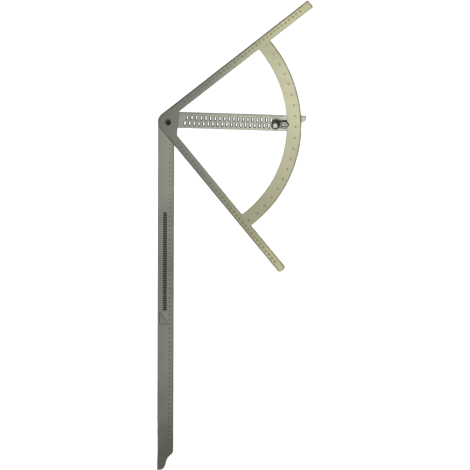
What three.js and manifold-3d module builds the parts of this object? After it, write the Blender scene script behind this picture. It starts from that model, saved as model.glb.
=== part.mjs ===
// Carpenter's set square with a swinging protractor frame.
// A steel L-shaped square carries a V-shaped frame on a pivot rivet. The frame's arc passes
// over the square's short leg, where a screw, a clamp shoe and a knurled knob lock it at any angle.
// Millimetres, +Z up. The square lies on its back: long blade along -Y, short leg along +X.
// Everything is drawn with the pivot axis at x = y = 0, and the whole group is then shifted so that
// its origin is the centre of the bounding box's bottom.

import * as THREE from 'three';
import { mergeVertices } from 'three/addons/utils/BufferGeometryUtils.js';
import Module from 'manifold-3d';

const wasm = await Module();
wasm.setup();

// Driving dimensions
const SHEET = 2.5; // thickness of the square and of the protractor frame
const GAP = 0.05; // between stacked faces
const FIT = 0.3; // round a pin in its hole
const BLADE_LENGTH = 802; // over the outer edge
const SHORT_LENGTH = 318; // over the outer edge
const LEG_WIDTH = 35;
const PIVOT_OFFSET = 22.5; // pivot to the outer edge of either leg, and of either arm
const CORNER_RADIUS = 26; // outer corner of the square, hidden under the frame
const INNER_CORNER_RADIUS = 1.5;
const OGEE_LENGTH = 45; // shaped end of each leg
const BLADE_FULLNESS = 1; // of the bulge of that end
const SHORT_FULLNESS = 0.86;
const EDGE_RECESSES = [{ from: 109, to: 94 }, { from: 85, to: 30 }]; // from the blade's tip
const RECESS_DEPTH = 0.7;

const SLOT_COUNT = 19; // scribing slots in each row
const SLOT_PITCH = 10;
const SLOT_WIDTH = 2.4;
const SLOT_LENGTH = 8.4;
const SLOT_ROWS = [{ x: 40.5, y: 10.7 }, { x: 35.5, y: -1.8 }]; // first slot of each row

const ARM_WIDTH = 18.5;
const ARM_REACH = 404; // pivot to the arm's end, along the arm
const UPPER_END_RADIUS = 2.5; // corners of each arm's end
const LOWER_END_RADIUS = 7;
const ARC_OUTER = 285.5;
const ARC_INNER = 254.5;
const VERTEX_EDGE = 21; // pivot to the straight inner edge of the frame's corner
const WINDOW_RADIUS = 3; // corners of the frame's window
const UPPER_ARM_ANGLE = 39.7; // of the upper arm above the short leg, at rest

const LOCK_X = 231; // lock screw's axis
const LOCK_Y = 3;
const SCREW_RADIUS = 3;
const SCREW_SINK = { radius: 6.4, depth: 1.9 }; // countersink in the short leg's back
const LOCK_WASHER_RADIUS = 9;

// Clamp shoe, in plan from the lock axis: a square heel, then a nose that flares and comes to a point
const SHOE_THICKNESS = 3;
const HEEL_BACK = 9;
const HEEL_FRONT = 14;
const HEEL_HALF_WIDTH = 7.5;
const NOSE_BACK = 9;
const NOSE_SHOULDER = 22.5;
const NOSE_HALF_WIDTH = 8.5;
const NOSE_TIP = 29;

const KNOB_RADIUS = 9.5;
const KNOB_HEIGHT = 9;
const FLUTES = 24;
const FLUTE_DEPTH = 0.7;
const INSERT_RADIUS = 5;
const INSERT_LENGTH = 5;
const KNOB_BORE_DEPTH = 7;
const CAP_RADIUS = 5.6;
const CAP_RECESS = 1;

const RIVET_RADIUS = 4.6; // the pivot rivet's shank
const RIVET_HOLE_RADIUS = 3.3; // blind hole in the rivet's upper end
const RIVET_FLANGE_RADIUS = 7;
const RIVET_RIM_RADIUS = 6.5;
const RIVET_SINK = { radius: 7.6, depth: 1.7 }; // countersink in the square's back
const PIVOT_WASHER_RADIUS = 7.3;
const FRICTION_WASHER_RADIUS = 17;

// Heights of the stacked layers
const WASHER_SHEET = 0.4;
const washerZ = SHEET + GAP;
const frameZ = washerZ + WASHER_SHEET + GAP;
const frameTop = frameZ + SHEET;
const shoeZ = SHEET + GAP;
const noseZ = frameTop + GAP;
const shoeTop = noseZ + SHOE_THICKNESS;
const lockWasherZ = shoeTop + GAP;
const LOCK_WASHER_SHEET = 0.8;
const knobZ = lockWasherZ + LOCK_WASHER_SHEET + GAP;
const PIVOT_WASHER_SHEET = 0.6;
const pivotWasherZ = frameTop + GAP;
const rimZ = pivotWasherZ + PIVOT_WASHER_SHEET + GAP;

// Looks
const steel = { color: 0xa9aa98, roughness: 0.35, metalness: 0.95 };
const frameSteel = { color: 0xb9b8a2, roughness: 0.35, metalness: 0.95 };
const chrome = { color: 0xd0d2d2, roughness: 0.15, metalness: 1 };
const zinc = { color: 0x8f918f, roughness: 0.4, metalness: 0.9 };
const darkSteel = { color: 0x3c3c38, roughness: 0.5, metalness: 0.8 };
const blackPlastic = { color: 0x262622, roughness: 0.55, metalness: 0 };
const brass = { color: 0xb08d4a, roughness: 0.35, metalness: 0.9 };
const nylon = { color: 0xd8d8d0, roughness: 0.6, metalness: 0 };

const point = (x, y) => new THREE.Vector2(x, y);

function arcPoints(cx, cy, radius, start, end, steps) {
  return Array.from({ length: steps + 1 }, (_, i) => {
    const angle = start + ((end - start) * i) / steps;
    return point(cx + radius * Math.cos(angle), cy + radius * Math.sin(angle));
  });
}

// A closed polygon with every corner rounded: one arc-like quadratic curve for each corner.
function roundedPolygon(corners, radius, steps) {
  return corners.flatMap((corner, i) => {
    const before = corners[(i + corners.length - 1) % corners.length];
    const after = corners[(i + 1) % corners.length];
    const start = corner.clone().add(before.clone().sub(corner).setLength(radius));
    const end = corner.clone().add(after.clone().sub(corner).setLength(radius));
    return new THREE.QuadraticBezierCurve(start, corner, end).getPoints(steps);
  });
}

function plate(outline, holes, thickness, z) {
  const shape = new THREE.Shape(outline);
  shape.holes = holes.map((points) => new THREE.Path(points));
  const geometry = new THREE.ExtrudeGeometry(shape, { depth: thickness, bevelEnabled: false });
  return geometry.translate(0, 0, z);
}

// A turned piece about the Z axis, from [radius, height] pairs.
function turned(profile, segments) {
  const points = profile.map(([radius, height]) => point(radius, height));
  return new THREE.LatheGeometry(points, segments).rotateX(Math.PI / 2);
}

// A flat ring that fits round a pin.
function washer(pin, outer, z, thickness) {
  const inner = pin + FIT;
  return turned([[inner, z], [outer, z], [outer, z + thickness], [inner, z + thickness], [inner, z]], 32);
}

function toSolid(geometry) {
  const bare = geometry.clone();
  bare.deleteAttribute('normal');
  bare.deleteAttribute('uv');
  const merged = mergeVertices(bare, 1e-4);
  return new wasm.Manifold(new wasm.Mesh({
    numProp: 3,
    vertProperties: new Float32Array(merged.attributes.position.array),
    triVerts: new Uint32Array(merged.index.array),
  }));
}

function toGeometry(solid) {
  const mesh = solid.getMesh();
  const geometry = new THREE.BufferGeometry();
  geometry.setAttribute('position', new THREE.BufferAttribute(mesh.vertProperties, 3));
  geometry.setIndex(new THREE.BufferAttribute(mesh.triVerts, 1));
  return geometry;
}

function named(name, geometry, look) {
  const mesh = new THREE.Mesh(geometry, new THREE.MeshStandardMaterial(look));
  mesh.name = name;
  return mesh;
}

// The shaped end of a leg, from its shoulder on the inner edge to its tip on the outer edge.
// along is measured from the shoulder, across from the outer edge.
function ogeePoints(fullness) {
  const at = (along, across) => point(along, across * fullness);
  const shoulder = new THREE.QuadraticBezierCurve(point(0, LEG_WIDTH), point(5.5, LEG_WIDTH), at(9.5, 30));
  const hollow = new THREE.CubicBezierCurve(at(9.5, 30), at(14, 25), at(17.5, 21.5), at(26, 19.5));
  const bulge = new THREE.CubicBezierCurve(
    at(26, 19.5), at(37.5, 17), at(OGEE_LENGTH, 14), at(OGEE_LENGTH, 5));
  return [
    ...shoulder.getPoints(4),
    ...hollow.getPoints(6).slice(1),
    ...bulge.getPoints(8).slice(1),
    point(OGEE_LENGTH, 0),
  ];
}

// A shallow recess in the blade's outer edge, between two distances from the blade's tip.
function edgeRecess({ from, to }) {
  const ramp = 5;
  const edgeX = -PIVOT_OFFSET;
  const tipY = PIVOT_OFFSET - BLADE_LENGTH;
  const share = [0, 0.15, 0.5, 0.85, 1];
  const down = share.map((s) => point(edgeX + RECESS_DEPTH * s, tipY + from - ramp * s));
  const up = share.map((s) => point(edgeX + RECESS_DEPTH * (1 - s), tipY + to + ramp * (1 - s)));
  return [...down, ...up];
}

function squareOutline() {
  const inner = LEG_WIDTH - PIVOT_OFFSET;
  const shortShoulder = SHORT_LENGTH - OGEE_LENGTH - PIVOT_OFFSET;
  const bladeShoulder = PIVOT_OFFSET - BLADE_LENGTH + OGEE_LENGTH;
  const shortEnd = ogeePoints(SHORT_FULLNESS).map((p) => point(shortShoulder + p.x, PIVOT_OFFSET - p.y));
  const bladeEnd = ogeePoints(BLADE_FULLNESS).map((p) => point(p.y - PIVOT_OFFSET, bladeShoulder - p.x));
  const cornerAt = CORNER_RADIUS - PIVOT_OFFSET;
  const outerCorner = arcPoints(cornerAt, -cornerAt, CORNER_RADIUS, Math.PI / 2, Math.PI, 14);
  const innerAt = inner + INNER_CORNER_RADIUS;
  const innerCorner = arcPoints(innerAt, -innerAt, INNER_CORNER_RADIUS, Math.PI, Math.PI / 2, 4);
  return [
    ...innerCorner,
    ...shortEnd,
    ...outerCorner,
    ...EDGE_RECESSES.flatMap(edgeRecess),
    ...bladeEnd.reverse(),
  ];
}

function slotOutline(x, y) {
  const radius = SLOT_WIDTH / 2;
  const half = SLOT_LENGTH / 2 - radius;
  return [
    ...arcPoints(x, y + half, radius, 0, Math.PI, 5),
    ...arcPoints(x, y - half, radius, Math.PI, 2 * Math.PI, 5),
  ];
}

function circleOutline(x, y, radius, steps) {
  return arcPoints(x, y, radius, 0, 2 * Math.PI, steps).slice(0, -1);
}

// The L-shaped square, with its scribing slots and two holes countersunk from below.
function squarePlate() {
  const slots = SLOT_ROWS.flatMap((row) => Array.from({ length: SLOT_COUNT }, (_, i) => (
    slotOutline(row.x + i * SLOT_PITCH, row.y))));
  const pivotHole = circleOutline(0, 0, RIVET_RADIUS + FIT, 32);
  const screwHole = circleOutline(LOCK_X, LOCK_Y, SCREW_RADIUS + FIT, 24);
  const body = plate(squareOutline(), [...slots, pivotHole, screwHole], SHEET, 0);
  const cone = ({ radius, depth }) => (
    turned([[0, -1], [radius + 1, -1], [radius - depth, depth], [0, depth]], 32));
  const pivotSink = toSolid(cone(RIVET_SINK));
  const screwSink = toSolid(cone(SCREW_SINK).translate(LOCK_X, LOCK_Y, 0));
  return toGeometry(toSolid(body).subtract(pivotSink).subtract(screwSink));
}

// The frame is symmetric about its own X axis: arms at 45 degrees above and below it.
function frameOutline() {
  const along = Math.SQRT1_2;
  const armPoint = (distance, offset) => point((distance - offset) * along, (distance + offset) * along);
  const mirrored = (points) => points.map((p) => point(p.x, -p.y)).reverse();
  const innerOffset = PIVOT_OFFSET - ARM_WIDTH;
  const reach = (radius) => Math.sqrt(radius ** 2 - innerOffset ** 2);
  const angleAt = (radius) => Math.PI / 4 + Math.asin(innerOffset / radius);

  const armEnd = (r) => {
    const inside = new THREE.QuadraticBezierCurve(
      armPoint(ARM_REACH - r, innerOffset),
      armPoint(ARM_REACH, innerOffset),
      armPoint(ARM_REACH, innerOffset + r));
    const outside = new THREE.QuadraticBezierCurve(
      armPoint(ARM_REACH, PIVOT_OFFSET - r),
      armPoint(ARM_REACH, PIVOT_OFFSET),
      armPoint(ARM_REACH - r, PIVOT_OFFSET));
    return [...inside.getPoints(4), ...outside.getPoints(4)];
  };
  const corner = arcPoints(0, 0, PIVOT_OFFSET, (3 * Math.PI) / 4, (5 * Math.PI) / 4, 14);
  const outerArc = arcPoints(0, 0, ARC_OUTER, -angleAt(ARC_OUTER), angleAt(ARC_OUTER), 48);
  const outline = [
    ...outerArc,
    ...armEnd(UPPER_END_RADIUS),
    ...corner,
    ...mirrored(armEnd(LOWER_END_RADIUS)),
  ];

  const vertexReach = VERTEX_EDGE * Math.SQRT2 + innerOffset;
  const w = WINDOW_RADIUS;
  const vertexCorner = new THREE.QuadraticBezierCurve(
    armPoint(vertexReach + w, innerOffset),
    armPoint(vertexReach, innerOffset),
    point(VERTEX_EDGE, armPoint(vertexReach, innerOffset).y - w));
  const arcCorner = new THREE.QuadraticBezierCurve(
    arcPoints(0, 0, ARC_INNER, angleAt(ARC_INNER) - w / ARC_INNER, 0, 1)[0],
    armPoint(reach(ARC_INNER), innerOffset),
    armPoint(reach(ARC_INNER) - w, innerOffset));
  const innerEnd = angleAt(ARC_INNER) - w / ARC_INNER;
  const innerArc = arcPoints(0, 0, ARC_INNER, -innerEnd, innerEnd, 44).slice(1, -1);
  const upperWindow = [...arcCorner.getPoints(4), ...vertexCorner.getPoints(4)];
  return { outline, window: [...innerArc, ...upperWindow, ...mirrored(upperWindow)] };
}

function protractorFrame() {
  const { outline, window } = frameOutline();
  const pivotHole = circleOutline(0, 0, RIVET_RADIUS + FIT, 32);
  return plate(outline, [window, pivotHole], SHEET, frameZ);
}

// Semi-tubular rivet: flush conical flange below, and a rim above rolled out from a blind hole.
function pivotRivet() {
  const holeBottom = 2;
  return turned([
    [0, 0.1],
    [RIVET_FLANGE_RADIUS, 0.1],
    [RIVET_RADIUS + 0.3, 1.4],
    [RIVET_RADIUS, 1.5],
    [RIVET_RADIUS, rimZ],
    [RIVET_RIM_RADIUS - 0.4, rimZ],
    [RIVET_RIM_RADIUS, rimZ + 0.4],
    [RIVET_RIM_RADIUS - 0.3, rimZ + 0.9],
    [5.2, rimZ + 1.2],
    [4, rimZ + 1],
    [RIVET_HOLE_RADIUS, rimZ + 0.3],
    [RIVET_HOLE_RADIUS, holeBottom],
    [0, holeBottom],
  ], 32);
}

// Countersunk screw, its head flush under the short leg and its shank up into the knob.
function lockScrew() {
  const top = knobZ + INSERT_LENGTH - 0.5;
  return turned([
    [0, 0.15],
    [5.7, 0.15],
    [SCREW_RADIUS, 1.8],
    [SCREW_RADIUS, top - 0.6],
    [SCREW_RADIUS - 0.6, top],
    [0, top],
  ], 24);
}

// Heel on the short leg, nose over the arc. The point of the nose reads the angle.
function clampShoe() {
  const heelHalf = HEEL_HALF_WIDTH;
  const noseHalf = NOSE_HALF_WIDTH;
  const heelCorners = [
    point(-HEEL_BACK, -heelHalf), point(HEEL_FRONT, -heelHalf),
    point(HEEL_FRONT, heelHalf), point(-HEEL_BACK, heelHalf)];
  const noseCorners = [
    point(NOSE_BACK, -heelHalf), point(HEEL_FRONT, -noseHalf), point(NOSE_SHOULDER, -noseHalf),
    point(NOSE_TIP, 0), point(NOSE_SHOULDER, noseHalf), point(HEEL_FRONT, noseHalf),
    point(NOSE_BACK, heelHalf)];
  const heel = plate(roundedPolygon(heelCorners, 2.5, 4), [], shoeTop - shoeZ, shoeZ);
  const nose = plate(roundedPolygon(noseCorners, 1.2, 3), [], SHOE_THICKNESS, noseZ);
  const bore = plate(circleOutline(0, 0, SCREW_RADIUS + FIT, 24), [], shoeTop, shoeZ - 1);
  return toGeometry(toSolid(heel).add(toSolid(nose)).subtract(toSolid(bore)));
}

// Knurled knob: fluted outline, a blind bore from below and a recess for the cap above.
function lockKnob() {
  const steps = FLUTES * 4;
  const outline = Array.from({ length: steps }, (_, i) => {
    const angle = (2 * Math.PI * i) / steps;
    const radius = KNOB_RADIUS - (FLUTE_DEPTH / 2) * (1 - Math.cos(FLUTES * angle));
    return point(radius * Math.cos(angle), radius * Math.sin(angle));
  });
  const body = toSolid(plate(outline, [], KNOB_HEIGHT, 0));
  const bore = toSolid(plate(circleOutline(0, 0, INSERT_RADIUS + FIT, 24), [], KNOB_BORE_DEPTH + 1, -1));
  const recess = toSolid(plate(circleOutline(0, 0, CAP_RADIUS + FIT, 32), [], 2, KNOB_HEIGHT - CAP_RECESS));
  return toGeometry(body.subtract(bore).subtract(recess));
}

function knobCap() {
  const bottom = KNOB_HEIGHT - CAP_RECESS + GAP;
  return turned([
    [0, bottom],
    [CAP_RADIUS, bottom],
    [CAP_RADIUS, KNOB_HEIGHT + 0.1],
    [CAP_RADIUS - 0.8, KNOB_HEIGHT + 0.5],
    [0, KNOB_HEIGHT + 0.7],
  ], 32);
}

function build() {
  const pivot = new THREE.Group();
  pivot.add(
    named('square_plate', squarePlate(), steel),
    named('friction_washer', washer(RIVET_RADIUS, FRICTION_WASHER_RADIUS, washerZ, WASHER_SHEET), nylon),
    named('pivot_washer', washer(RIVET_RADIUS, PIVOT_WASHER_RADIUS, pivotWasherZ, PIVOT_WASHER_SHEET), zinc),
    named('pivot_rivet', pivotRivet(), darkSteel),
  );

  const protractor = new THREE.Group();
  protractor.rotation.z = THREE.MathUtils.degToRad(UPPER_ARM_ANGLE - 45);
  protractor.add(named('protractor_frame', protractorFrame(), frameSteel));

  const lock = new THREE.Group();
  lock.position.set(LOCK_X, LOCK_Y, 0);
  lock.add(
    named('lock_screw', lockScrew(), zinc),
    named('clamp_shoe', clampShoe(), chrome),
    named('lock_washer', washer(SCREW_RADIUS, LOCK_WASHER_RADIUS, lockWasherZ, LOCK_WASHER_SHEET), zinc),
  );

  const knob = new THREE.Group();
  knob.position.z = knobZ;
  knob.add(
    named('lock_knob', lockKnob(), blackPlastic),
    named('knob_insert', washer(SCREW_RADIUS, INSERT_RADIUS, 0, INSERT_LENGTH), brass),
    named('knob_cap', knobCap(), chrome),
  );
  lock.add(knob);
  pivot.add(protractor, lock);

  const box = new THREE.Box3().setFromObject(pivot, true);
  const centre = box.getCenter(new THREE.Vector3());
  pivot.position.set(-centre.x, -centre.y, -box.min.z);
  const object = new THREE.Group();
  object.add(pivot);
  return object;
}

export default build();
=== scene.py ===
"""Looks of the carpenter's set square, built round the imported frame.

Every piece is drawn in millimetres about the pivot axis or the lock screw's axis, as the CAD part
is, and piece() moves it into the row frame, in metres. The sheets lie flat with their faces up: the
long blade runs along -Y and the short leg along +X.
"""

import math

import bmesh
import bpy
from mathutils import Matrix, Vector
from mathutils.geometry import tessellate_polygon


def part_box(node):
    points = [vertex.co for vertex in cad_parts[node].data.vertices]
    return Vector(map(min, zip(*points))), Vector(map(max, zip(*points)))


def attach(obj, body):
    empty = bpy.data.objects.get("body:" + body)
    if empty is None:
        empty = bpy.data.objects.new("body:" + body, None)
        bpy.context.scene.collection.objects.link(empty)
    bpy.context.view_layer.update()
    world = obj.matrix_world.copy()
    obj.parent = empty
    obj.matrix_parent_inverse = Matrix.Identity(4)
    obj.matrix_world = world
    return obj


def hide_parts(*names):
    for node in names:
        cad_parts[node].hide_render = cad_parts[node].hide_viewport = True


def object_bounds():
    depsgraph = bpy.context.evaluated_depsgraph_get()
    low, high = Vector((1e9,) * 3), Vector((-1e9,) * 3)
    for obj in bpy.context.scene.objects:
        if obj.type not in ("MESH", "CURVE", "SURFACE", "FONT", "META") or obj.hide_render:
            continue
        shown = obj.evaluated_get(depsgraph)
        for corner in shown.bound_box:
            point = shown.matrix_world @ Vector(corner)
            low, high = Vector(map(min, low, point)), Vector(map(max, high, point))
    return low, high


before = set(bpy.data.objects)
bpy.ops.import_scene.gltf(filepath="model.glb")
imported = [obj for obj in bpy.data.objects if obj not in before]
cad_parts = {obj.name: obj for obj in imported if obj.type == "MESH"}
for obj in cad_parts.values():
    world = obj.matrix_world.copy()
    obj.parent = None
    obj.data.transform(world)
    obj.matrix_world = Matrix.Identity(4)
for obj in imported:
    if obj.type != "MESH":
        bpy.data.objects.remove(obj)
cad_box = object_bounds()

MM = 0.001


def node_box(name):
    """A CAD node's lowest and highest corner, in millimetres in the row frame."""
    low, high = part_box(name)
    return low / MM, high / MM


# ---------------------------------------------------------------- places, from the frame
RIVET_LOW, RIVET_HIGH = node_box("pivot_rivet")
SCREW_LOW, SCREW_HIGH = node_box("lock_screw")
SQUARE_LOW, SQUARE_HIGH = node_box("square_plate")
FRAME_LOW, FRAME_HIGH = node_box("protractor_frame")
FRICTION_LOW, FRICTION_HIGH = node_box("friction_washer")
PIVOT_WASHER_LOW, PIVOT_WASHER_HIGH = node_box("pivot_washer")
LOCK_WASHER_LOW, LOCK_WASHER_HIGH = node_box("lock_washer")
SHOE_LOW, SHOE_HIGH = node_box("clamp_shoe")
KNOB_LOW, KNOB_HIGH = node_box("lock_knob")
INSERT_LOW, INSERT_HIGH = node_box("knob_insert")
CAP_LOW, CAP_HIGH = node_box("knob_cap")

PIVOT = (RIVET_LOW + RIVET_HIGH) / 2
LOCK = (SCREW_LOW + SCREW_HIGH) / 2
LOCK_X = LOCK.x - PIVOT.x
LOCK_Y = LOCK.y - PIVOT.y
SQUARE_TOP = SQUARE_HIGH.z
FRAME_TOP = FRAME_HIGH.z
BLADE_LENGTH = SQUARE_HIGH.y - SQUARE_LOW.y
SHORT_LENGTH = SQUARE_HIGH.x - SQUARE_LOW.x
PIVOT_OFFSET = SQUARE_HIGH.y - PIVOT.y  # pivot to the outer edge of a leg or an arm

# ---------------------------------------------------------------- driving sizes, mm
LEG_WIDTH = 35
CORNER_RADIUS = 26
INNER_CORNER_RADIUS = 1.5
OGEE_LENGTH = 45
BLADE_FULLNESS = 1  # how wide the shaped end is, against the ogee drawn below
SHORT_FULLNESS = 0.86
RECESS_DEPTH = 0.7
RECESSES = ((109, 94), (85, 30))  # start and end of each, from the blade's tip
SLOT_COUNT = 19
SLOT_PITCH = 10
SLOT_WIDTH = 2.4
SLOT_LENGTH = 8.4
SLOT_ROWS = ((40.5, 10.7), (35.5, -1.8))
ARM_WIDTH = 18.5
ARM_REACH = 404
UPPER_END_RADIUS = 2.5
LOWER_END_RADIUS = 7
ARC_OUTER = 285.5
ARC_INNER = 254.5
VERTEX_EDGE = 21
WINDOW_RADIUS = 3
UPPER_ARM_ANGLE = math.radians(39.7)
FRAME_TURN = UPPER_ARM_ANGLE - math.radians(45)
RIVET_RADIUS = 4.6
SCREW_RADIUS = 3
FIT = 0.3
KNOB_RADIUS = 9.5
FLUTES = 24
CAP_RADIUS = 5.6
NOSE_TIP = 29

MARK_PROUD = 0.03  # etched marks stand this far above the steel
MARK_SUNK = 0.1
TICK_WIDTH = 0.35
INNER_EDGE = LEG_WIDTH - PIVOT_OFFSET  # pivot to the inner edge of a leg


# ---------------------------------------------------------------- outlines
def arc(cx, cy, radius, start, end, steps):
    """Points along an arc, both ends included."""
    turn = [start + (end - start) * i / steps for i in range(steps + 1)]
    return [Vector((cx + radius * math.cos(a), cy + radius * math.sin(a))) for a in turn]


def circle(cx, cy, radius, steps):
    return arc(cx, cy, radius, 0, 2 * math.pi, steps)[:-1]


def bezier(points, steps):
    """A quadratic or cubic curve through its first and last control points."""
    degree = len(points) - 1
    made = []
    for i in range(steps + 1):
        t = i / steps
        weights = [math.comb(degree, k) * t**k * (1 - t) ** (degree - k) for k in range(degree + 1)]
        made.append(sum((Vector(p) * w for p, w in zip(points, weights)), Vector((0, 0))))
    return made


def rounded_polygon(corners, radius, steps):
    """A closed outline with each corner rounded, radius being the length cut from each side."""
    made = []
    for i, corner in enumerate(corners):
        corner = Vector(corner)
        before = (Vector(corners[i - 1]) - corner).normalized() * radius
        after = (Vector(corners[(i + 1) % len(corners)]) - corner).normalized() * radius
        made += bezier([corner + before, corner, corner + after], steps)
    return made


def ogee(fullness):
    """The shaped end of a leg, from its shoulder to its tip: (along, across from the outer edge)."""

    def at(along, across):
        return along, across * fullness

    shoulder = bezier([(0, LEG_WIDTH), (5.5, LEG_WIDTH), at(9.5, 30)], 10)
    hollow = bezier([at(9.5, 30), at(14, 25), at(17.5, 21.5), at(26, 19.5)], 16)
    bulge = bezier([at(26, 19.5), at(37.5, 17), at(OGEE_LENGTH, 14), at(OGEE_LENGTH, 5)], 20)
    return shoulder + hollow[1:] + bulge[1:] + [Vector((OGEE_LENGTH, 0))]


def edge_recess(start, end):
    """A shallow recess in the blade's outer edge, between two distances from the blade's tip."""
    ramp = 5
    tip = PIVOT_OFFSET - BLADE_LENGTH
    share = [i / 8 for i in range(9)]
    ease = [s * s * (3 - 2 * s) for s in share]
    down = [(RECESS_DEPTH * e, start - ramp * s) for s, e in zip(share, ease)]
    up = [(RECESS_DEPTH * (1 - e), end + ramp * (1 - s)) for s, e in zip(share, ease)]
    return [Vector((-PIVOT_OFFSET + depth, tip + along)) for depth, along in down + up]


def square_outline():
    short_shoulder = SHORT_LENGTH - OGEE_LENGTH - PIVOT_OFFSET
    blade_shoulder = PIVOT_OFFSET - BLADE_LENGTH + OGEE_LENGTH
    short_end = [Vector((short_shoulder + p.x, PIVOT_OFFSET - p.y)) for p in ogee(SHORT_FULLNESS)]
    blade_end = [Vector((p.y - PIVOT_OFFSET, blade_shoulder - p.x)) for p in reversed(ogee(BLADE_FULLNESS))]
    at = CORNER_RADIUS - PIVOT_OFFSET
    outer_corner = arc(at, -at, CORNER_RADIUS, math.pi / 2, math.pi, 28)
    at = INNER_EDGE + INNER_CORNER_RADIUS
    inner_corner = arc(at, -at, INNER_CORNER_RADIUS, math.pi, math.pi / 2, 8)
    recesses = [point for start, end in RECESSES for point in edge_recess(start, end)]
    return inner_corner + short_end + outer_corner + recesses + blade_end


def slot_outline(x, y):
    radius = SLOT_WIDTH / 2
    half = SLOT_LENGTH / 2 - radius
    upper = arc(x, y + half, radius, 0, math.pi, 10)
    return upper + arc(x, y - half, radius, math.pi, 2 * math.pi, 10)


def on_arm(distance, offset):
    """A point of the upper arm in the frame's own axes. offset is towards the arm's outer edge."""
    return Vector((distance - offset, distance + offset)) * math.sqrt(0.5)


def frame_outlines():
    """Outline and window of the protractor frame, symmetric about its own X axis."""
    half_turn = math.pi / 4
    outer = PIVOT_OFFSET
    inner = outer - ARM_WIDTH

    def mirrored(points):
        return [Vector((p.x, -p.y)) for p in reversed(points)]

    def edge_angle(radius):
        return half_turn + math.asin(inner / radius)

    def arm_end(r):
        inside = [on_arm(ARM_REACH - r, inner), on_arm(ARM_REACH, inner), on_arm(ARM_REACH, inner + r)]
        outside = [on_arm(ARM_REACH, outer - r), on_arm(ARM_REACH, outer), on_arm(ARM_REACH - r, outer)]
        return bezier(inside, 8) + bezier(outside, 8)

    corner = arc(0, 0, outer, 3 * half_turn, 5 * half_turn, 28)
    outer_arc = arc(0, 0, ARC_OUTER, -edge_angle(ARC_OUTER), edge_angle(ARC_OUTER), 120)
    outline = outer_arc + arm_end(UPPER_END_RADIUS) + corner + mirrored(arm_end(LOWER_END_RADIUS))

    w = WINDOW_RADIUS
    reach = math.sqrt(ARC_INNER**2 - inner**2)
    near = VERTEX_EDGE * math.sqrt(2) + inner
    last = edge_angle(ARC_INNER) - w / ARC_INNER
    arc_end = arc(0, 0, ARC_INNER, last, last, 1)[0]
    arc_corner = bezier([arc_end, on_arm(reach, inner), on_arm(reach - w, inner)], 8)
    below = Vector((VERTEX_EDGE, on_arm(near, inner).y - w))
    vertex_corner = bezier([on_arm(near + w, inner), on_arm(near, inner), below], 8)
    upper_window = arc_corner + vertex_corner
    inner_arc = arc(0, 0, ARC_INNER, -last, last, 110)[1:-1]
    return outline, inner_arc + upper_window + mirrored(upper_window)


# ---------------------------------------------------------------- mesh building
def area(points):
    pairs = zip(points, points[1:] + points[:1])
    return sum(a.x * b.y - b.x * a.y for a, b in pairs) / 2


def without_repeats(points):
    return [p for p, q in zip(points, points[1:] + points[:1]) if (p - q).length > 1e-4]


def inset(points, distance):
    """The closed loop moved to its left by distance, with mitred corners."""
    moved = []
    count = len(points)
    for i, p in enumerate(points):
        before = (p - points[i - 1]).normalized()
        after = (points[(i + 1) % count] - p).normalized()
        bisector = Vector((-before.y - after.y, before.x + after.x))
        bisector.normalize()
        across = bisector.dot(Vector((-before.y, before.x)))
        moved.append(p + bisector * (distance / max(across, 0.5)))
    return moved


def eased(width, depth, steps=4):
    """Edge profile from the face down: (inset, depth) pairs of a quarter round.

    The first pair, a little inside the rounding, keeps the flat face's shading flat.
    """
    turn = [math.pi / 2 * i / steps for i in range(steps + 1)]
    rounding = [(width * (1 - math.sin(a)), depth * (1 - math.cos(a))) for a in turn]
    return [(width + 0.2, 0)] + rounding


def chamfered(width, depth):
    """Edge profile of a countersunk rim, its two corners just broken."""
    upper_corner = [(width + 0.15, 0), (width, 0), (width * 0.9, depth * 0.05)]
    return upper_corner + [(width * 0.1, depth * 0.88), (0, depth)]


def sheet_bmesh(loops, low, high, turn=0.0):
    """A flat sheet between two heights. loops are (points, upper, lower edge profile), outline first."""
    made = bmesh.new()
    faces = {"top": [], "bottom": []}
    for index, (points, upper_edge, lower_edge) in enumerate(loops):
        points = without_repeats(points)
        if (area(points) > 0) != (index == 0):
            points = points[::-1]
        levels = [(i, low + d) for i, d in lower_edge] + [(i, high - d) for i, d in reversed(upper_edge)]
        rings = []
        for amount, z in levels:
            ring = [Vector((p.x, p.y, z)) for p in inset(points, amount)]
            rings.append([made.verts.new(v) for v in ring])
        count = len(points)
        for lower, upper in zip(rings, rings[1:]):
            for i in range(count):
                j = (i + 1) % count
                made.faces.new((lower[i], lower[j], upper[j], upper[i]))
        faces["bottom"].append(rings[0])
        faces["top"].append(rings[-1])
    for side, rings in faces.items():
        flat = [v for ring in rings for v in ring]
        for triangle in tessellate_polygon([[v.co for v in ring] for ring in rings]):
            corners = [flat[i] for i in triangle]
            a, b, c = (v.co for v in corners)
            up = (b - a).cross(c - a).z > 0
            if up != (side == "top"):
                corners.reverse()
            made.faces.new(corners)
    if turn:
        bmesh.ops.rotate(made, verts=made.verts, cent=(0, 0, 0), matrix=Matrix.Rotation(turn, 3, "Z"))
    return made


def lofted_bmesh(rings, closed=False):
    """A skin over rings of equal point counts, capped at both ends or closed back on itself."""
    made = bmesh.new()
    rows = [[made.verts.new(p) for p in ring] for ring in rings]
    count = len(rows[0])
    pairs = list(zip(rows, rows[1:]))
    if closed:
        pairs.append((rows[-1], rows[0]))
    else:
        made.faces.new(rows[0])
        made.faces.new(rows[-1])
    for lower, upper in pairs:
        for i in range(count):
            j = (i + 1) % count
            made.faces.new((lower[i], lower[j], upper[j], upper[i]))
    bmesh.ops.recalc_face_normals(made, faces=made.faces)
    return made


def turned_ring(radius, height, steps, wave=None):
    """A ring at a height. wave, if given, turns an angle into what is added to the radius."""
    made = []
    for i in range(steps):
        angle = 2 * math.pi * i / steps
        r = radius + (wave(angle) if wave else 0)
        made.append(Vector((r * math.cos(angle), r * math.sin(angle), height)))
    return made


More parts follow.
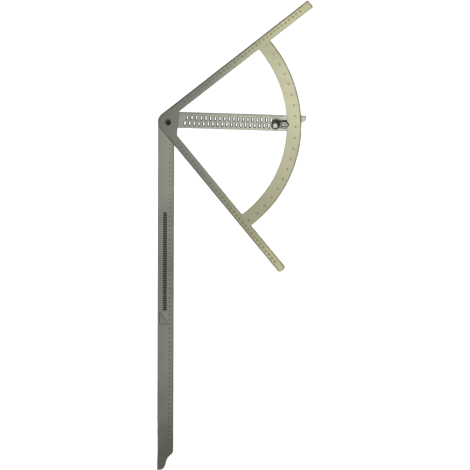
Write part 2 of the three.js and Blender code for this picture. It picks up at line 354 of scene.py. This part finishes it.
def turned_bmesh(profile, steps=96, closed=True):
    """A (radius, height) profile turned about the vertical."""
    return lofted_bmesh([turned_ring(r, z, steps) for r, z in profile], closed)


def rounded_profile(points, radius, steps=4, closed=True):
    """A (radius, height) profile with its corners rounded. The ends of an open one stay sharp."""
    made = []
    for i, p in enumerate(points):
        if not closed and i in (0, len(points) - 1):
            made.append(p)
            continue
        corner = Vector(p)
        before = Vector(points[i - 1]) - corner
        after = Vector(points[(i + 1) % len(points)]) - corner
        size = min(radius, before.length * 0.45, after.length * 0.45)
        start, end = corner + before.normalized() * size, corner + after.normalized() * size
        made += [tuple(v) for v in bezier([start, corner, end], steps)]
    return made


def washer_bmesh(inner, outer, low, high):
    corners = [(inner, low), (outer, low), (outer, high), (inner, high)]
    return turned_bmesh(rounded_profile(corners, (high - low) * 0.35), 96)


def combined(made, cutter, operation):
    """The boolean of two bmeshes, as a new bmesh."""
    pair = []
    for name, source in (("body", made), ("cutter", cutter)):
        mesh = bpy.data.meshes.new(name)
        source.to_mesh(mesh)
        source.free()
        pair.append(bpy.data.objects.new(name, mesh))
        bpy.context.scene.collection.objects.link(pair[-1])
    modifier = pair[0].modifiers.new("boolean", "BOOLEAN")
    modifier.operation = operation
    modifier.solver = "EXACT"
    modifier.object = pair[1]
    result = bmesh.new()
    result.from_object(pair[0], bpy.context.evaluated_depsgraph_get())
    for used in pair:
        mesh = used.data
        bpy.data.objects.remove(used)
        bpy.data.meshes.remove(mesh)
    return result


def bevelled(made, width, segments=2, sharp=math.radians(30)):
    """Joins coplanar faces, then bevels every edge that is sharper than the given angle."""
    bmesh.ops.remove_doubles(made, verts=made.verts, dist=1e-4)
    bmesh.ops.dissolve_limit(made, angle_limit=math.radians(1), verts=made.verts, edges=made.edges)
    edges = [e for e in made.edges if len(e.link_faces) == 2 and e.calc_face_angle() > sharp]
    bmesh.ops.bevel(
        made, geom=edges, offset=width, segments=segments, profile=0.5, affect="EDGES", clamp_overlap=True)
    return made


def piece(name, made, body, material, replaced=(), at=PIVOT, smooth=math.radians(32)):
    """Turns a bmesh in millimetres about at into a finished object that rides on a body."""
    bmesh.ops.scale(made, vec=(MM, MM, MM), verts=made.verts)
    bmesh.ops.translate(made, vec=Vector((at.x, at.y, 0)) * MM, verts=made.verts)
    mesh = bpy.data.meshes.new(name)
    made.to_mesh(mesh)
    made.free()
    mesh.shade_smooth()
    mesh.set_sharp_from_angle(angle=smooth)
    made_object = bpy.data.objects.new(name, mesh)
    bpy.context.scene.collection.objects.link(made_object)
    mesh.materials.append(material)
    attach(made_object, body)
    if replaced:
        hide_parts(*replaced)
    return made_object


# ---------------------------------------------------------------- materials
def new_material(name):
    material = bpy.data.materials.new(name)
    material.use_nodes = True
    nodes = material.node_tree.nodes
    return material, nodes, material.node_tree.links, nodes["Principled BSDF"]


def noise(nodes, links, stretch, detail=4.0, turn=0.0):
    """Noise over the row frame. stretch is its scale along each axis, in cells per millimetre."""
    place = nodes.new("ShaderNodeTexCoord")
    turned = nodes.new("ShaderNodeVectorRotate")
    turned.rotation_type = "Z_AXIS"
    turned.inputs["Angle"].default_value = -turn
    mapping = nodes.new("ShaderNodeMapping")
    mapping.inputs["Scale"].default_value = [s / MM for s in stretch]
    texture = nodes.new("ShaderNodeTexNoise")
    texture.inputs["Scale"].default_value = 1.0
    texture.inputs["Detail"].default_value = detail
    links.new(place.outputs["Object"], turned.inputs["Vector"])
    links.new(turned.outputs["Vector"], mapping.inputs["Vector"])
    links.new(mapping.outputs["Vector"], texture.inputs["Vector"])
    return texture.outputs["Fac"]


def ranged(nodes, links, value, low, high, start=0.3, end=0.7):
    scaled = nodes.new("ShaderNodeMapRange")
    scaled.inputs["From Min"].default_value = start
    scaled.inputs["From Max"].default_value = end
    scaled.inputs["To Min"].default_value = low
    scaled.inputs["To Max"].default_value = high
    links.new(value, scaled.inputs["Value"])
    return scaled.outputs["Result"]


def mixed(nodes, links, factor, first, second):
    mix = nodes.new("ShaderNodeMix")
    mix.data_type = "RGBA"
    links.new(factor, mix.inputs["Factor"])
    for socket, colour in (("A", first), ("B", second)):
        target = next(s for s in mix.inputs if s.name == socket and s.type == "RGBA")
        if isinstance(colour, tuple):
            target.default_value = (*colour, 1)
        else:
            links.new(colour, target)
    return next(s for s in mix.outputs if s.type == "RGBA")


def bumped(nodes, links, shader, height, distance):
    bump = nodes.new("ShaderNodeBump")
    bump.inputs["Distance"].default_value = distance * MM
    links.new(height, bump.inputs["Height"])
    links.new(bump.outputs["Normal"], shader.inputs["Normal"])


def on_edges(nodes, links):
    """0 on faces that look up or down in the piece's own axes, 1 on slopes over about 33 degrees."""
    place = nodes.new("ShaderNodeTexCoord")
    split = nodes.new("ShaderNodeSeparateXYZ")
    links.new(place.outputs["Normal"], split.inputs["Vector"])
    upright = nodes.new("ShaderNodeMath")
    upright.operation = "ABSOLUTE"
    links.new(split.outputs["Z"], upright.inputs[0])
    return ranged(nodes, links, upright.outputs["Value"], 1, 0, 0.84, 0.985)


def away_from_pivot(nodes, links, near, far):
    """0 within near mm of the pivot to 1 beyond far mm, in the piece's own axes."""
    place = nodes.new("ShaderNodeTexCoord")
    apart = nodes.new("ShaderNodeVectorMath")
    apart.operation = "DISTANCE"
    apart.inputs[1].default_value = (PIVOT.x * MM, PIVOT.y * MM, 0)
    links.new(place.outputs["Object"], apart.inputs[0])
    return ranged(nodes, links, apart.outputs["Value"], 0, 1, near * MM, far * MM)


# Painted shade: the frame's steel is darkened round the pivot, fading out between these distances.
PAINTED_SHADE_START = 130  # from the pivot
PAINTED_SHADE_END = 330


def brushed_steel(name, light, dark, edge, roughness, turn=0.0, painted_shade=None):
    """Stainless sheet: fine grain along the piece's turned X axis, cloudy handling stains, darker edges,
    partly sheared steel and partly painted shade, and, where painted_shade is given, painted shade round
    the pivot."""
    material, nodes, links, shader = new_material(name)
    grain = noise(nodes, links, (0.03, 2.4, 0.5), 3.0, turn)
    streaks = noise(nodes, links, (0.004, 0.35, 0.2), 3.0, turn)
    clouds = noise(nodes, links, (0.018, 0.018, 0.018), 4.0)
    base = mixed(nodes, links, ranged(nodes, links, clouds, 0, 1), dark, light)
    lined = mixed(nodes, links, ranged(nodes, links, streaks, 0.0, 0.5), base, dark)
    # painted shade: darker steel round the pivot, where the sheet reflects less light
    if painted_shade:
        unshaded = away_from_pivot(nodes, links, PAINTED_SHADE_START, PAINTED_SHADE_END)
        lined = mixed(nodes, links, unshaded, painted_shade, lined)
    # the edge colour is partly sheared steel and partly painted shade along the outline
    links.new(mixed(nodes, links, on_edges(nodes, links), lined, edge), shader.inputs["Base Color"])
    links.new(ranged(nodes, links, grain, roughness - 0.05, roughness + 0.08), shader.inputs["Roughness"])
    shader.inputs["Metallic"].default_value = 1.0
    bumped(nodes, links, shader, grain, 0.004)
    return material


def plain_metal(name, light, dark, roughness, edge=None):
    """Plated or turned metal with a fine grain and, where edge is given, edges darkened with painted shade.
    """
    material, nodes, links, shader = new_material(name)
    grain = noise(nodes, links, (0.8,) * 3, 4.0)
    colour = mixed(nodes, links, ranged(nodes, links, grain, 0, 1), dark, light)
    if edge:
        # painted shade on the edges
        colour = mixed(nodes, links, on_edges(nodes, links), colour, edge)
    links.new(colour, shader.inputs["Base Color"])
    links.new(ranged(nodes, links, grain, roughness - 0.04, roughness + 0.06), shader.inputs["Roughness"])
    shader.inputs["Metallic"].default_value = 1.0
    bumped(nodes, links, shader, grain, 0.004)
    return material


def matte(name, light, dark, roughness, grain_size=1.5, depth=0.02):
    """Plastic, paint or ink with a fine grain."""
    material, nodes, links, shader = new_material(name)
    grain = noise(nodes, links, (grain_size,) * 3, 5.0)
    colour = mixed(nodes, links, ranged(nodes, links, grain, 0, 1), dark, light)
    links.new(colour, shader.inputs["Base Color"])
    links.new(ranged(nodes, links, grain, roughness - 0.06, roughness + 0.08), shader.inputs["Roughness"])
    bumped(nodes, links, shader, grain, depth)
    return material


DOWN_THE_BLADE = math.pi / 2
# Edge colour of the sheets: partly the darker sheared steel, partly painted shade outlining them.
SHEARED_AND_SHADED = (0.07, 0.07, 0.06)
square_steel = brushed_steel(
    "square_steel", (0.62, 0.64, 0.52), (0.50, 0.52, 0.42), SHEARED_AND_SHADED, 0.34, DOWN_THE_BLADE)
# frame_steel's last colour is painted shade round the pivot
frame_steel = brushed_steel(
    "frame_steel", (0.75, 0.725, 0.45), (0.62, 0.60, 0.38), SHEARED_AND_SHADED, 0.34, FRAME_TURN, (0.36, 0.37, 0.31))
# chrome's last colour is painted shade, a dark outline on the shoe's bevels
chrome = plain_metal("chrome", (0.40, 0.41, 0.37), (0.30, 0.31, 0.28), 0.28, (0.05, 0.05, 0.045))
cap_steel = plain_metal("cap_steel", (0.62, 0.62, 0.52), (0.52, 0.52, 0.43), 0.3)
zinc = plain_metal("zinc", (0.42, 0.43, 0.40), (0.28, 0.29, 0.27), 0.36)
dark_steel = plain_metal("dark_steel", (0.13, 0.13, 0.11), (0.05, 0.05, 0.045), 0.34)
brass = plain_metal("brass", (0.62, 0.45, 0.19), (0.50, 0.35, 0.13), 0.3)
knob_black = matte("knob_black", (0.040, 0.040, 0.030), (0.020, 0.020, 0.015), 0.42)
nylon = matte("nylon", (0.74, 0.74, 0.69), (0.62, 0.62, 0.57), 0.5)
etched_black = matte("etched_black", (0.016, 0.016, 0.014), (0.006, 0.006, 0.005), 0.6)
etched_grey = matte("etched_grey", (0.060, 0.058, 0.040), (0.035, 0.034, 0.024), 0.6)
etched_faint = matte("etched_faint", (0.110, 0.108, 0.080), (0.070, 0.068, 0.050), 0.6)


# ---------------------------------------------------------------- the two sheets
def make_square():
    edge = eased(0.9, 0.9)
    under = eased(0.4, 0.4, 2)
    slot_rim, slot_under = chamfered(1.7, 1.5), chamfered(0.3, 0.3)
    bore = eased(0.3, 0.3, 2)
    rivet_sink, screw_sink = chamfered(1.9, 1.3), chamfered(2.1, 1.6)
    loops = [(square_outline(), edge, under)]
    for row_x, row_y in SLOT_ROWS:
        for i in range(SLOT_COUNT):
            loops.append((slot_outline(row_x + i * SLOT_PITCH, row_y), slot_rim, slot_under))
    loops.append((circle(0, 0, RIVET_RADIUS + FIT, 48), bore, rivet_sink))
    loops.append((circle(LOCK_X, LOCK_Y, SCREW_RADIUS + FIT, 32), bore, screw_sink))
    made = sheet_bmesh(loops, 0, SQUARE_TOP)
    return piece("square_sheet", made, "square", square_steel, ["square_plate"])


def make_frame():
    outline, window = frame_outlines()
    edge = eased(1.8, 1.1)
    under = eased(0.4, 0.4, 2)
    bore = eased(0.3, 0.3, 2)
    loops = [(outline, edge, under), (window, eased(0.9, 0.7), under)]
    loops.append((circle(0, 0, RIVET_RADIUS + FIT, 48), bore, bore))
    made = sheet_bmesh(loops, FRAME_LOW.z, FRAME_TOP, FRAME_TURN)
    return piece("frame_sheet", made, "protractor", frame_steel, ["protractor_frame"])


# ---------------------------------------------------------------- pivot
def make_pivot():
    """Semi-tubular rivet with a rolled rim round its blind hole, and its two washers."""
    hole, hole_bottom = 3.3, 2
    crown = 5.3
    rim, top = PIVOT_WASHER_HIGH.z + 0.05, RIVET_HIGH.z
    flange, flange_height = (RIVET_HIGH.x - RIVET_LOW.x) / 2, 1.5
    throat = bezier([(hole, rim - 0.3), (hole, rim + 0.9), (4.1, top), (crown, top)], 8)
    rolled = bezier([(crown, top), (6.75, rim + 1.25), (6.5, rim), (RIVET_RADIUS, rim)], 10)
    profile = [(hole, hole_bottom)] + [tuple(p) for p in throat + rolled[1:]]
    profile += [(RIVET_RADIUS, flange_height), (flange - 0.05, RIVET_LOW.z + 0.15)]
    profile += [(flange - 0.3, RIVET_LOW.z)]
    made = turned_bmesh(profile, 72, closed=False)
    piece("rivet", made, "square", dark_steel, ["pivot_rivet"])

    hole, outer = RIVET_RADIUS + FIT, 7.3
    made = washer_bmesh(hole, outer, PIVOT_WASHER_LOW.z, PIVOT_WASHER_HIGH.z)
    piece("rivet_washer", made, "square", zinc, ["pivot_washer"])
    outer = (FRICTION_HIGH.x - FRICTION_LOW.x) / 2
    made = washer_bmesh(hole, outer, FRICTION_LOW.z, FRICTION_HIGH.z)
    piece("friction_disc", made, "square", nylon, ["friction_washer"])


# ---------------------------------------------------------------- lock
def make_screw():
    """Countersunk screw with a hexagon socket below, and a rolled thread under the knob's insert."""
    steps = 72
    socket, socket_depth = 1.9, 1.1
    head_face, head, head_height = 5.6, 5.7, 1.8
    thread_pitch, thread_depth = 1.0, 0.35
    point_length, point_taper = 0.8, 0.6
    sixth = math.pi / 3

    def hexagon(angle):
        return socket / math.cos((angle % sixth) - sixth / 2) - socket

    low, top = SCREW_LOW.z, SCREW_HIGH.z
    rings = [turned_ring(socket, low + socket_depth, steps, hexagon)]
    rings += [turned_ring(socket, low, steps, hexagon)]
    rings += [turned_ring(head_face, low, steps), turned_ring(head, low + 0.15, steps)]
    rings += [turned_ring(SCREW_RADIUS, head_height, steps)]
    start = LOCK_WASHER_HIGH.z
    for i in range(int((top - 1 - start) / thread_pitch)):
        z = start + i * thread_pitch
        rings.append(turned_ring(SCREW_RADIUS, z, steps))
        rings.append(turned_ring(SCREW_RADIUS - thread_depth, z + thread_pitch / 2, steps))
    rings.append(turned_ring(SCREW_RADIUS, top - point_length, steps))
    rings.append(turned_ring(SCREW_RADIUS - point_taper, top, steps))
    piece("screw", lofted_bmesh(rings), "square", zinc, ["lock_screw"], LOCK)


def make_shoe():
    """Heel on the short leg, nose over the arc, with a hollow pressed into the nose."""
    low, high = SHOE_LOW.z, SHOE_HIGH.z
    heel_back, heel_front, heel_half = -9, 14, 7.5
    nose_root, nose_shoulder, nose_half = 9, 22.5, 8.5
    nose_low = FRAME_TOP + 0.05
    corner_cut = 2.5
    plain = [(0, 0)]
    slope = [(2, 0), (0, 1.4)]
    under = [(0.3, 0), (0, 0.3)]

    heel_corners = [(heel_back, -heel_half), (heel_front, -heel_half)]
    heel_corners += [(heel_front, heel_half), (heel_back, heel_half)]
    heel = sheet_bmesh([(rounded_polygon(heel_corners, corner_cut, 6), slope, under)], low, high)

    nose_corners = [(nose_root, -heel_half), (heel_front, -nose_half), (nose_shoulder, -nose_half)]
    nose_corners += [(NOSE_TIP, 0)]
    nose_corners += [(nose_shoulder, nose_half), (heel_front, nose_half), (nose_root, heel_half)]
    nose = sheet_bmesh([(rounded_polygon(nose_corners, corner_cut, 6), slope, under)], nose_low, high)

    bore_loop = circle(0, 0, SCREW_RADIUS + FIT, 48)
    bore = sheet_bmesh([(bore_loop, plain, plain)], low - 1, high + 1)

    back, shoulder, tip, half, depth = 11, 20.6, 24, 4.6, 1.6
    hollow_corners = [(back, -half), (shoulder, -half), (tip, 0), (shoulder, half), (back, half)]
    hollow_loop = rounded_polygon(hollow_corners, 2.2, 5)
    hollow_slope = [(1.6, 0), (0, depth)]
    hollow = sheet_bmesh([(hollow_loop, plain, hollow_slope)], high - depth, high + 1)

    made = combined(heel, nose, "UNION")
    made = combined(made, bore, "DIFFERENCE")
    made = combined(made, hollow, "DIFFERENCE")
    piece("shoe", bevelled(made, 0.2), "clamp", chrome, ["clamp_shoe"], LOCK)
    made = washer_bmesh(SCREW_RADIUS + FIT, 9, LOCK_WASHER_LOW.z, LOCK_WASHER_HIGH.z)
    piece("shoe_washer", made, "clamp", zinc, ["lock_washer"], LOCK)


def make_knob():
    """Fluted knob with rounded ends, a threaded brass insert and a spun steel cap."""
    steps = FLUTES * 8
    flute_depth = 0.35

    def flutes(share):
        return lambda angle: -flute_depth * share * (1 - math.cos(FLUTES * angle))

    low, high = KNOB_LOW.z, KNOB_HIGH.z
    socket, socket_depth = 5.3, 7
    recess = CAP_RADIUS + FIT
    rings = [turned_ring(socket, low + socket_depth, steps), turned_ring(socket, low + 0.3, steps)]
    rings += [turned_ring(socket + 0.3, low, steps)]
    for inward, up, share in ((1.6, 0, 0.3), (0.7, 0.3, 0.7), (0.2, 0.9, 1), (0, 1.8, 1)):
        rings.append(turned_ring(KNOB_RADIUS - inward, low + up, steps, flutes(share)))
    for inward, down, share in ((0, 2.2, 1), (0.25, 1.1, 1), (0.8, 0.4, 0.7), (1.8, 0, 0.2)):
        rings.append(turned_ring(KNOB_RADIUS - inward, high - down, steps, flutes(share)))
    rings += [turned_ring(recess + 0.8, high, steps), turned_ring(recess + 0.1, high - 0.1, steps)]
    rings += [turned_ring(recess, high - 0.3, steps), turned_ring(recess, high - 1, steps)]
    made = lofted_bmesh(rings)
    piece("fluted_knob", made, "knob", knob_black, ["lock_knob"], LOCK)

    inner, outer = SCREW_RADIUS + FIT, (INSERT_HIGH.x - INSERT_LOW.x) / 2
    made = washer_bmesh(inner, outer, INSERT_LOW.z, INSERT_HIGH.z)
    piece("brass_insert", made, "knob", brass, ["knob_insert"], LOCK)

    middle, crown = 0.4, 3
    profile = [(middle, CAP_LOW.z), (CAP_RADIUS, CAP_LOW.z), (CAP_RADIUS, high + 0.1)]
    profile += [(CAP_RADIUS - 0.8, high + 0.5), (CAP_RADIUS - 1.6, high + 0.42)]
    profile += [(crown, high + 0.55), (middle, CAP_HIGH.z)]
    made = turned_bmesh(rounded_profile(profile, 0.3, closed=False), 96, closed=False)
    piece("cap", made, "knob", cap_steel, ["knob_cap"], LOCK)


# ---------------------------------------------------------------- etched marks
class Marks:
    """Gathers etched marks, each a thin closed solid let into the steel, into one bmesh."""

    def __init__(self, face, turn=0.0):
        self.made = bmesh.new()
        self.low, self.high = face - MARK_SUNK, face + MARK_PROUD
        self.turn = turn

    def block(self, corners):
        """A block over a convex outline."""
        if area(corners) < 0:
            corners = corners[::-1]
        bottom, top = ([self.made.verts.new((p.x, p.y, z)) for p in corners] for z in (self.low, self.high))
        self.made.faces.new(bottom[::-1])
        self.made.faces.new(top)
        for i in range(len(corners)):
            j = (i + 1) % len(corners)
            self.made.faces.new((bottom[i], bottom[j], top[j], top[i]))

    def line(self, start, end, width):
        side = (end - start).normalized() * (width / 2)
        side = Vector((-side.y, side.x))
        self.block([start + side, start - side, end - side, end + side])

    def number(self, value, centre, up, size):
        """A number about its centre, its tops towards up."""
        right = Vector((up.y, -up.x))
        verts, faces = digits(str(value))
        heights = {False: self.low, True: self.high}
        made = []
        for v in verts:
            at = centre + right * (v.x * size) + up * (v.y * size)
            made.append(self.made.verts.new((at.x, at.y, heights[v.z > 0])))
        for face in faces:
            self.made.faces.new([made[i] for i in face])

    def finished(self, name, body, material):
        if self.turn:
            turn = Matrix.Rotation(self.turn, 3, "Z")
            bmesh.ops.rotate(self.made, verts=self.made.verts, cent=(0, 0, 0), matrix=turn)
        bmesh.ops.recalc_face_normals(self.made, faces=self.made.faces)
        return piece(name, self.made, body, material)


digit_meshes = {}


def digits(text):
    """Points and faces of a number set solid in the built-in typeface, one unit high, about its centre."""
    if text not in digit_meshes:
        curve = bpy.data.curves.new("digits", "FONT")
        curve.body = text
        curve.align_x = "CENTER"
        curve.resolution_u = 2
        curve.offset = 0.012
        curve.extrude = 0.5
        holder = bpy.data.objects.new("digits", curve)
        bpy.context.scene.collection.objects.link(holder)
        depsgraph = bpy.context.evaluated_depsgraph_get()
        mesh = bpy.data.meshes.new_from_object(holder.evaluated_get(depsgraph))
        solid = bmesh.new()
        solid.from_mesh(mesh)
        bpy.data.meshes.remove(mesh)
        bpy.data.objects.remove(holder)
        bpy.data.curves.remove(curve)
        bmesh.ops.remove_doubles(solid, verts=solid.verts, dist=1e-4)
        high = max(v.co.y for v in solid.verts)
        middle = Vector((0, high / 2, 0))
        verts = [(v.co - middle) / high for v in solid.verts]
        digit_meshes[text] = verts, [[v.index for v in face.verts] for face in solid.faces]
        solid.free()
    return digit_meshes[text]


def tick_length(count):
    """Every tenth tick is long, every fifth middling."""
    if count % 10 == 0:
        return 5.5
    return 4.2 if count % 5 == 0 else 2.8


def mark_square():
    """Millimetres along the blade's inner edge, with centimetre figures, and the short leg's outer edge."""
    marks = Marks(SQUARE_TOP)
    edge_margin = 1.2
    figure_x, figure_size, figure_shift = 3.6, 3.6, 3.1
    short_start, short_tick_share = 30, 0.8
    inner_length = BLADE_LENGTH - LEG_WIDTH - OGEE_LENGTH
    for count in range(1, int(inner_length) - 1):
        y = -INNER_EDGE - count
        start = Vector((INNER_EDGE - edge_margin, y))
        marks.line(start, start - Vector((tick_length(count), 0)), TICK_WIDTH)
        if count % 10 == 0:
            centre = Vector((figure_x, y + figure_shift))
            marks.number(count // 10, centre, Vector((1, 0)), figure_size)
    for count in range(short_start, int(SHORT_LENGTH - OGEE_LENGTH) - 1):
        start = Vector((count - PIVOT_OFFSET, PIVOT_OFFSET - edge_margin))
        marks.line(start, start - Vector((0, tick_length(count) * short_tick_share)), TICK_WIDTH)
    marks.finished("square_graduations", "square", etched_faint)


def mark_frame():
    """Millimetres along both arms' outer edges, with centimetre figures, and degrees along the arc."""
    marks = Marks(FRAME_TOP, FRAME_TURN)
    edge_margin = 1.6
    arm_start, first_figure, last_figure = 42, 70, 400
    arm_tick_share = 0.75
    arm_figure_depth, arm_figure_size, arm_figure_shift = 8.4, 4.0, 1.5
    arc_figure_radius, arc_figure_size = 273.5, 3.8
    for side in (1, -1):
        mirror = Vector((1, side))
        outward = Vector((-1, side)) * math.sqrt(0.5)
        for count in range(arm_start, int(ARM_REACH + PIVOT_OFFSET) - 3):
            distance = count - PIVOT_OFFSET
            start = on_arm(distance, PIVOT_OFFSET - edge_margin)
            reach = tick_length(count) * arm_tick_share
            end = on_arm(distance, PIVOT_OFFSET - edge_margin - reach)
            marks.line(start * mirror, end * mirror, TICK_WIDTH)
            if count % 10 == 0 and first_figure <= count <= last_figure:
                along = distance - arm_figure_shift * side
                centre = on_arm(along, PIVOT_OFFSET - arm_figure_depth) * mirror
                marks.number(count // 10, centre, outward, arm_figure_size)
    for degree in range(91):
        angle = math.radians(45 - degree)
        outward = Vector((math.cos(angle), math.sin(angle)))
        start = outward * (ARC_OUTER - edge_margin)
        marks.line(start, start - outward * tick_length(degree), TICK_WIDTH)
        if degree % 5 == 0:
            marks.number(degree, outward * arc_figure_radius, outward, arc_figure_size)
    marks.finished("frame_graduations", "protractor", etched_grey)


def mark_scale_bar():
    """A plain chequered bar down the blade's middle, and a plain triangle below it."""
    marks = Marks(SQUARE_TOP)
    left, right = -10.2, -3.2
    top, bottom = -200, -420
    border, overlap = 0.7, 0.3
    for x in (left, right):
        marks.line(Vector((x, top)), Vector((x, bottom)), border)
    pitch, cell = 5, 3.8
    for i in range(int((top - bottom) / pitch)):
        y = top - i * pitch - cell / 2
        marks.line(Vector((left + overlap, y)), Vector((right - overlap, y)), cell)
    triangle = [Vector((-18, -423)), Vector((-18, -449)), Vector((1, -449))]
    triangle_line = 0.9
    for i, corner in enumerate(triangle):
        marks.line(corner, triangle[(i + 1) % 3], triangle_line)
    marks.finished("scale_bar", "square", etched_black)


def mark_shoe():
    """An index line on the nose, from its hollow to its point."""
    marks = Marks(SHOE_HIGH.z)
    start, end = 24.6, NOSE_TIP - 2.4
    marks.line(Vector((start, 0)), Vector((end, 0)), 0.4)
    marks.finished("shoe_index", "clamp", etched_black)


# ---------------------------------------------------------------- floor, camera, light, in metres
def make_floor():
    floor_radius, gap = 60, 0.0002
    mesh = bpy.data.meshes.new("floor")
    made = bmesh.new()
    bmesh.ops.create_circle(made, cap_ends=True, radius=floor_radius, segments=64)
    made.to_mesh(mesh)
    made.free()
    floor = bpy.data.objects.new("floor", mesh)
    floor.location.z = -gap
    bpy.context.scene.collection.objects.link(floor)
    mesh.materials.append(matte("floor_paint", (0.92, 0.92, 0.92), (0.90, 0.90, 0.90), 0.8, 0.01, 0.0))


CAMERA_TILT = math.radians(14.915)  # of the line of sight from the vertical, towards +Y
CAMERA_SWING = math.radians(5.933)  # and towards +X
CAMERA_ROLL = math.radians(-1.955)
CAMERA_DISTANCE = 11.8065
CAMERA_LENS = 421.28
AIM_SHIFT = Vector((0.00186, 0.0068, 0.0))  # from the centre of the object's underside


def make_camera():
    low, high = cad_box
    aim = Vector(((low.x + high.x) / 2, (low.y + high.y) / 2, 0)) + AIM_SHIFT
    x, y = math.sin(CAMERA_SWING), math.sin(CAMERA_TILT)
    back = Vector((x, y, math.sqrt(1 - x * x - y * y)))
    level = (Vector((1, 0, 0)) - back * back.x).normalized()
    right = level * math.cos(CAMERA_ROLL) + (-back).cross(level) * math.sin(CAMERA_ROLL)
    up = back.cross(right)
    data = bpy.data.cameras.new("camera")
    data.lens = CAMERA_LENS
    data.sensor_width = 36
    data.clip_end = 200
    camera = bpy.data.objects.new("camera", data)
    bpy.context.scene.collection.objects.link(camera)
    turn = Matrix((right, up, back)).transposed()
    camera.matrix_world = Matrix.Translation(aim + back * CAMERA_DISTANCE) @ turn.to_4x4()
    bpy.context.scene.camera = camera


PANEL_HEIGHT = 0.85
PANELS = (  # name, place, the spot on the floor it faces, size, power
    ("right_box", (0.05, 0.15), (0.14, 0.31), (0.30, 0.5), 0.83),
    ("left_box", (-0.27, -0.10), (-0.16, 0.14), (0.12, 0.30), 0.075),
    ("tip_box", (-0.27, -0.53), (-0.16, -0.29), (0.12, 0.20), 0.085),
    ("low_box", (0.06, -0.40), (0.15, -0.17), (0.12, 0.16), 0.36),
)


def area_light(name, place, spot, size, power):
    """A panel over the object that only reflections and lit surfaces show."""
    at, aim = Vector((*place, PANEL_HEIGHT)), Vector((*spot, 0))
    data = bpy.data.lights.new(name, "AREA")
    data.shape = "RECTANGLE"
    data.size, data.size_y = size
    data.energy = power
    light = bpy.data.objects.new(name, data)
    light.location = at
    light.rotation_euler = (aim - at).to_track_quat("-Z", "Y").to_euler()
    light.visible_camera = False
    bpy.context.scene.collection.objects.link(light)


def make_fill():
    """Even light on the floor from straight above. It has no shadow and no highlight."""
    data = bpy.data.lights.new("fill", "SUN")
    data.energy = 3.4
    data.use_shadow = False
    fill = bpy.data.objects.new("fill", data)
    fill.visible_glossy = False
    bpy.context.scene.collection.objects.link(fill)


HORIZON = 0.5  # brightness of the studio's walls
OVERHEAD = 0.10  # and of its ceiling
DARK_SIDE = (0.80, 0.52, 0.30)  # towards the unlit wall


def make_world():
    """Bright walls all round, a dim ceiling, and one unlit wall to the right."""
    world = bpy.data.worlds.new("studio")
    world.use_nodes = True
    nodes, links = world.node_tree.nodes, world.node_tree.links
    place = nodes.new("ShaderNodeTexCoord")
    split = nodes.new("ShaderNodeSeparateXYZ")
    links.new(place.outputs["Generated"], split.inputs["Vector"])
    height = ranged(nodes, links, split.outputs["Z"], HORIZON, OVERHEAD, 0.40, 0.78)
    side = nodes.new("ShaderNodeVectorMath")
    side.operation = "DOT_PRODUCT"
    side.inputs[1].default_value = DARK_SIDE
    links.new(place.outputs["Generated"], side.inputs[0])
    shade = ranged(nodes, links, side.outputs["Value"], 1.0, 0.05, 0.35, 0.75)
    product = nodes.new("ShaderNodeMath")
    product.operation = "MULTIPLY"
    links.new(height, product.inputs[0])
    links.new(shade, product.inputs[1])
    background = nodes["Background"]
    background.inputs["Color"].default_value = (1, 1, 1, 1)
    links.new(product.outputs["Value"], background.inputs["Strength"])
    bpy.context.scene.world = world


make_square()
make_frame()
make_pivot()
make_screw()
make_shoe()
make_knob()
mark_square()
mark_frame()
mark_scale_bar()
mark_shoe()
make_floor()
make_camera()
make_world()
for panel in PANELS:
    area_light(*panel)
make_fill()
bpy.context.scene.view_settings.view_transform = "Standard"
